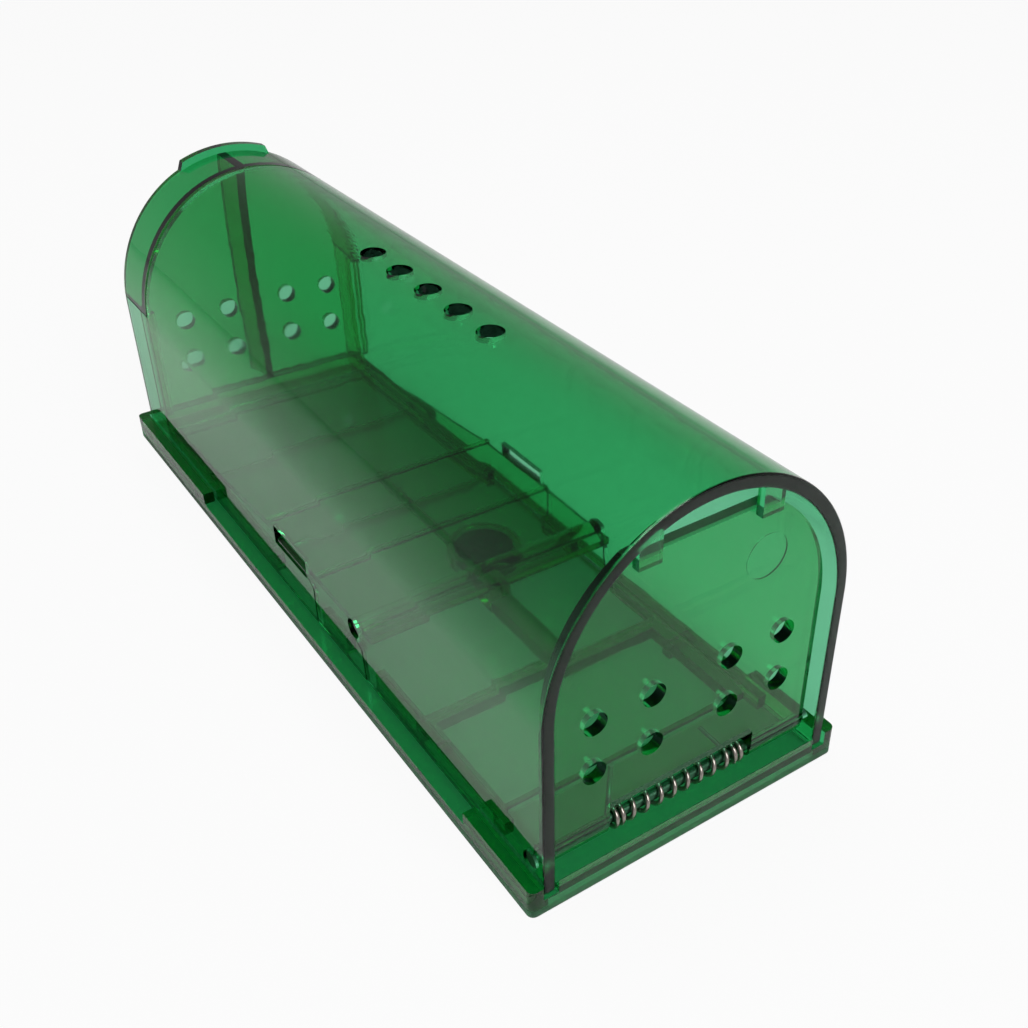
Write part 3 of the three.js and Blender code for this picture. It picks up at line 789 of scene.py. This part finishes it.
def tray():
    inner = UPSTAND[1]
    floor_plate = profile("tray", tray_outline(), "Z", 0, FLANGE)
    sill = slab("sill", (-inner, inner), (TRAY_FRONT, SILL_REAR), (CURB_FOOT, SILL))
    pad = slab("pad", (-PAD_HALF, PAD_HALF), PAD_Y, (ROOT, PAD_TOP))
    bulkhead = slab("bulkhead", (-inner, inner), CAP_PLATE, (ROOT, BULKHEAD_TOP))
    combined(floor_plate, [curbs(), sill, pad, bulkhead, *upstands()], "UNION")
    return combined(floor_plate, bays(), "DIFFERENCE")


dressed(rounded(tray(), TRAY_ROUND), "clear_tray", "housing", "base_tray", TRAY_PLASTIC)

# %% [markdown]
# ## Door
# The door is a flat plate with the tunnel's outline, cut to a straight chord at the top where it meets
# the two lugs. It has two rows of four air holes, and along its foot a barrel that turns on the pin and
# is cut away in the middle for the spring. A faint round mark shows where the mould's pin pushed it out.

# %% Door
DOOR_STEPS = 96
DOOR_ROUND = 0.28
DOOR_SIDE_GAP = 1.2
DOOR_CROWN_GAP = 2.5
DOOR_FOOT = 8.2
CHORD = [(-90, 55.8), (-85.8, 60), (-78.6, 52.8), (-78.6, 80), (-90, 80)]
CHORD_X = (-30, 30)
BARREL_RADIUS = 1.7
BARREL_HALF = 25.48
NOTCH_HALF = 14.6
NOTCH_TOP = 12.3
DOOR_HOLE_ROWS = (21.8, 31.7)
EJECTOR_MARK = (13.5, 47.9)
MARK_RADIUS = 4
MARK_DEPTH = 0.25


def door():
    plate = arch("door", HALF_IN - DOOR_SIDE_GAP, CROWN_IN - DOOR_CROWN_GAP, DOOR_FOOT,
                 (DOOR_OUTER, DOOR_INNER), steps=DOOR_STEPS)
    combined(plate, [profile("chord", CHORD, "X", *CHORD_X)], "DIFFERENCE")
    barrel = rod("barrel", "X", HINGE, BARREL_RADIUS, -BARREL_HALF, BARREL_HALF, segments=SMOOTH_ROD)
    combined(plate, [barrel], "UNION")
    notch_x = (COIL_MIDDLE - NOTCH_HALF, COIL_MIDDLE + NOTCH_HALF)
    combined(plate, [slab("notch", notch_x, FRONT_END, (0, NOTCH_TOP))], "DIFFERENCE")
    holes = [rod("hole", "Y", (x, z), HOLE_RADIUS, *FRONT_END) for z in DOOR_HOLE_ROWS for x in HOLE_COLUMNS]
    holes.append(rod("bore", "X", HINGE, PIN_RADIUS + CLEARANCE, *ACROSS))
    holes.append(rod("ejector_mark", "Y", EJECTOR_MARK, MARK_RADIUS, DOOR_INNER - MARK_DEPTH,
                     FRONT_END[1], segments=SMOOTH_ROD))
    return combined(plate, holes, "DIFFERENCE")


dressed(rounded(door(), DOOR_ROUND), "clear_door", "door", "door", DOOR_PLASTIC)

# %% [markdown]
# ## Treadle
# The treadle is a thin plate that turns on its own moulded axle. It is flat to the last cross rib and
# slopes to the floor behind it. An ear on each side reaches into a window of the tunnel's wall, whose
# top and bottom stop the swing. An arm under the front edge is what the folded door presses.

# %% Treadle
TREADLE_HALF = 26.3
TREADLE_FRONT = -32.0
TREADLE_REAR = 71.0
RAMP_START = 13.3
RAMP_END_Z = (7.2, 8.8)
MIDDLE_RIB = -9.7
TREADLE_RIB = 1
TREADLE_RIB_Z = (13, 15.3)
EAR_X = (24.1, 28.6)
EAR_SLOPE_X = 27.2
EAR_SLOPE_Z = TREADLE_TOP - 0.9
AXLE_RADIUS = 1.8
AXLE_HALF = 28.4
ARM_HALF = 2.2
ARM_TIP = (-49.5, 9.08)
ARM_TIP_RADIUS = 1.5
ARM_Z = (7.58, 10.58)
ARM_ROOT = -19.8
TIP_HALF = 2.19
SPINE_HALF = 0.5
SPINE_REAR = 17.2
SPINE_FOOT = 10.9
CUP = (4.5, -19.0)
CUP_RADIUS = 7.5
CUP_BORE = 6.3
CUP_FOOT = 9.6
WEIGHT_RADIUS = 6
WEIGHT_TOP = 12.6
WEIGHT_ROUND = 0.3
TREADLE_ROUND = 0.15


def treadle_plate():
    points = [(TREADLE_FRONT, TREADLE_FOOT), (RAMP_START, TREADLE_FOOT), (TREADLE_REAR, RAMP_END_Z[0]),
              (TREADLE_REAR, RAMP_END_Z[1]), (RAMP_START, TREADLE_TOP), (TREADLE_FRONT, TREADLE_TOP)]
    plate = profile("treadle", points, "X", -TREADLE_HALF, TREADLE_HALF)
    ribs = [slab("rib", (-TREADLE_HALF, TREADLE_HALF), (y - TREADLE_RIB, y), TREADLE_RIB_Z)
            for y in (RAMP_START, MIDDLE_RIB)]
    ear = profile("ear", [(EAR_X[0], TREADLE_FOOT), (EAR_X[1], TREADLE_FOOT), (EAR_X[1], EAR_SLOPE_Z),
                          (EAR_SLOPE_X, TREADLE_TOP), (EAR_X[0], TREADLE_TOP)], "Y", *EARS)
    return combined(plate, ribs + [ear, mirrored(ear)], "UNION")


def treadle():
    plate = treadle_plate()
    axle = rod("axle", "X", AXLE, AXLE_RADIUS, -AXLE_HALF, AXLE_HALF)
    arm_points = [(ARM_TIP[0], ARM_Z[0]), (AXLE[0], ARM_Z[0]), (ARM_ROOT, AXLE[1]),
                  (TREADLE_FRONT, AXLE[1]), (TREADLE_FRONT, ARM_Z[1]), (ARM_TIP[0], ARM_Z[1])]
    arm = profile("arm", arm_points, "X", -ARM_HALF, ARM_HALF)
    tip = rod("arm_tip", "X", ARM_TIP, ARM_TIP_RADIUS, -TIP_HALF, TIP_HALF)
    spine = slab("spine", (-SPINE_HALF, SPINE_HALF), (AXLE[0], SPINE_REAR), (SPINE_FOOT, AXLE[1]))
    cup = rod("cup", "Z", CUP, CUP_RADIUS, CUP_FOOT, AXLE[1], segments=SMOOTH_ROD)
    combined(plate, [axle, arm, tip, spine, cup], "UNION")
    bore = rod("cup_bore", "Z", CUP, CUP_BORE, 0, TREADLE_FOOT, segments=SMOOTH_ROD)
    return combined(plate, [bore], "DIFFERENCE")


dressed(rounded(treadle(), TREADLE_ROUND), "clear_treadle", "treadle", "treadle",
        TREADLE_PLASTIC)

# %% Weight
weight = rod("weight", "Z", CUP, WEIGHT_RADIUS, CUP_FOOT, WEIGHT_TOP, segments=SMOOTH_ROD)
dressed(rounded(weight, WEIGHT_ROUND), "treadle_disc", "treadle", "treadle_weight",
        WEIGHT_STEEL)

# %% [markdown]
# ## Bait cap
# The cap carries on the tunnel's arch with a short band, closes the tunnel with a plate that has the
# door's air holes, and has a middle rib and a thumb lip at the far edge. The band, the plate and the
# lip are three arches with different numbers of steps, and the lip and the rib end a hair before the
# band does, so that no two of their faces lie in one plane, which the Boolean modifier couldn't tell
# apart.

# %% Bait cap
BAND_STEPS, PLATE_STEPS, LIP_STEPS = 96, 90, 84
BAND_FOOT = 20
BAND_ROUND = 0.35
PLATE_LET_IN = 1.1
PLATE_FOOT = 12
LIP = 1.5
LIP_DEPTH = 2
LIP_ROOT = 1
LIP_FOOT = 30
LIP_END = [(40, 20), (12, 20), (12, 62), (8.5, 71), (40, 71)]
LIP_ROUND = 0.3
HAIR = 0.02
CAP_RIB_HALF = 1
CAP_RIB_FRONT = 75
CAP_RIB_FOOT = 9.7
CAP_RIB_TOP = 66
CAP_HOLE_ROWS = (22.8, 33.0)
CAP_HOLE_Y = (70, 80)


def end_plate():
    plate = arch("plate", HALF_IN + PLATE_LET_IN, CROWN_IN + PLATE_LET_IN, PLATE_FOOT, CAP_PLATE,
                 steps=PLATE_STEPS)
    side = slab("plate_side", (HALF_IN - CLEARANCE, ACROSS[1]), REAR_END, (0, SEAM + CLEARANCE))
    return combined(plate, [side, mirrored(side)], "DIFFERENCE")


def thumb_lip():
    lip_y = (TUNNEL_REAR - LIP_DEPTH, TUNNEL_REAR - HAIR)
    lip = arch("lip", HALF_OUT + LIP, CROWN_OUT + LIP, LIP_FOOT, lip_y, steps=LIP_STEPS)
    end = profile("lip_end", LIP_END, "Y", *REAR_END)
    under = arch("lip_under", HALF_IN + LIP_ROOT, CROWN_IN + LIP_ROOT, 0, REAR_END, steps=LIP_STEPS)
    return rounded(combined(lip, [end, mirrored(end), under], "DIFFERENCE"), LIP_ROUND)


def middle_rib():
    rear = TUNNEL_REAR - 2 * HAIR
    foot = PLATE_FOOT + HAIR
    points = [(CAP_RIB_FRONT, foot), (CAP_PLATE[1], foot), (rear, CAP_RIB_FOOT), (rear, CAP_RIB_TOP),
              (CAP_RIB_FRONT, CAP_RIB_TOP)]
    return profile("rib", points, "X", -CAP_RIB_HALF, CAP_RIB_HALF)


def bait_cap():
    band = arch("bait_cap", HALF_OUT, CROWN_OUT, BAND_FOOT, (ARCH_REAR + CLEARANCE, TUNNEL_REAR),
                steps=BAND_STEPS, wall=WALL, rounding=BAND_ROUND)
    combined(band, [slab("below", ACROSS, REAR_END, (0, SEAM + CLEARANCE))], "DIFFERENCE")
    combined(band, [end_plate()], "UNION")
    combined(band, [thumb_lip()], "UNION")
    holes = [rod("hole", "Y", (x, z), HOLE_RADIUS, *CAP_HOLE_Y) for z in CAP_HOLE_ROWS for x in HOLE_COLUMNS]
    combined(band, holes, "DIFFERENCE")
    return combined(band, [middle_rib()], "UNION")


dressed(bait_cap(), "clear_bait_cap", "bait_cap", "bait_cap", CAP_PLASTIC)

# %% [markdown]
# ## Pin and spring
# The pin is a plain rod whose head is let into the left wall. The spring is wound the way a spring
# maker does it: a ring of wire is spun about the pin while it moves along it, slowly over the close
# turns at each end and faster over the open turns. The legs are straight runs of the same ring.

# %% Pin
PIN_HALF = 28.6
PIN_SIDES = 40
HEAD_DEPTH = 1.0
PIN_ROUND = 0.2


def pin():
    shank = rod("pin", "X", HINGE, PIN_RADIUS, -PIN_HALF, PIN_HALF, segments=PIN_SIDES)
    head = rod("pin_head", "X", HINGE, PIN_HEAD, -PIN_HALF, -PIN_HALF + HEAD_DEPTH, segments=PIN_SIDES)
    return rounded(combined(shank, [head], "UNION"), PIN_ROUND)


dressed(pin(), "hinge_pin", "housing", "door_hinge_pin", PIN_STEEL_PAINTED_REFLECTION)

# %% Spring
WIRE = 0.4
WIRE_SIDES = 14
COIL = 1.6
DOOR_LEG = 12
FLOOR_LEG = 7.8
LEG_BEND = 1
BEND_STEPS = 6
STEPS_A_TURN = 28
CLOSE_TURNS, OPEN_TURNS = 2, 8
CLOSE_PITCH, OPEN_PITCH = 1.2, 2.75
SPRING_CREASE = 60


def last_ring(made):
    return [part for part in made["geom_last"] if not isinstance(part, bmesh.types.BMFace)]


def pulled(bm, ring, vec):
    """Draws the end ring of the wire straight along vec."""
    made = bmesh.ops.extrude_edge_only(bm, edges=edges_of(ring))["geom"]
    bmesh.ops.translate(bm, verts=verts_of(made), vec=vec)
    return verts_of(made) + [edge for edge in edges_of(made) if len(edge.link_faces) == 1]


def spring():
    bm = bmesh.new()
    centre = (0, *HINGE)
    length = 2 * CLOSE_TURNS * CLOSE_PITCH + OPEN_TURNS * OPEN_PITCH
    lean = math.asin((COIL - (DOOR_INNER + CLEARANCE + WIRE - HINGE[0])) / DOOR_LEG)
    tip = Vector((COIL_MIDDLE - length / 2, HINGE[0] + COIL * math.cos(lean) - DOOR_LEG * math.sin(lean),
                  HINGE[1] + COIL * math.sin(lean) + DOOR_LEG * math.cos(lean)))
    bmesh.ops.create_circle(bm, segments=WIRE_SIDES, radius=WIRE, cap_ends=False)
    bmesh.ops.rotate(bm, verts=bm.verts, matrix=Matrix.Rotation(lean, 3, "X"))
    bmesh.ops.translate(bm, verts=bm.verts, vec=tip)
    ring = list(bm.verts) + list(bm.edges)
    ring = pulled(bm, ring, Vector((0, math.sin(lean), -math.cos(lean))) * DOOR_LEG)
    for turns, pitch in ((CLOSE_TURNS, CLOSE_PITCH), (OPEN_TURNS, OPEN_PITCH), (CLOSE_TURNS, CLOSE_PITCH)):
        steps = turns * STEPS_A_TURN
        made = bmesh.ops.spin(bm, geom=ring, cent=centre, axis=(-1, 0, 0),
                              dvec=(turns * pitch / steps, 0, 0), angle=2 * math.pi * turns, steps=steps)
        ring = last_ring(made)
    ring = last_ring(bmesh.ops.spin(bm, geom=ring, cent=centre, axis=(-1, 0, 0), angle=lean, steps=1))
    bend_z = SILL + CLEARANCE + WIRE + LEG_BEND
    ring = pulled(bm, ring, (0, 0, bend_z - HINGE[1]))
    made = bmesh.ops.spin(bm, geom=ring, cent=(0, HINGE[0] + COIL + LEG_BEND, bend_z), axis=(1, 0, 0),
                          angle=math.pi / 2, steps=BEND_STEPS)
    pulled(bm, last_ring(made), (0, FLOOR_LEG, 0))
    bmesh.ops.remove_doubles(bm, verts=bm.verts, dist=ONE_POINT)
    bmesh.ops.holes_fill(bm, edges=[e for e in bm.edges if len(e.link_faces) == 1], sides=0)
    return loose("spring", bm)


SPRING = dressed(spring(), "door_torsion_spring", None, "door_spring", SPRING_STEEL,
                 SPRING_CREASE)
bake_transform(SPRING)
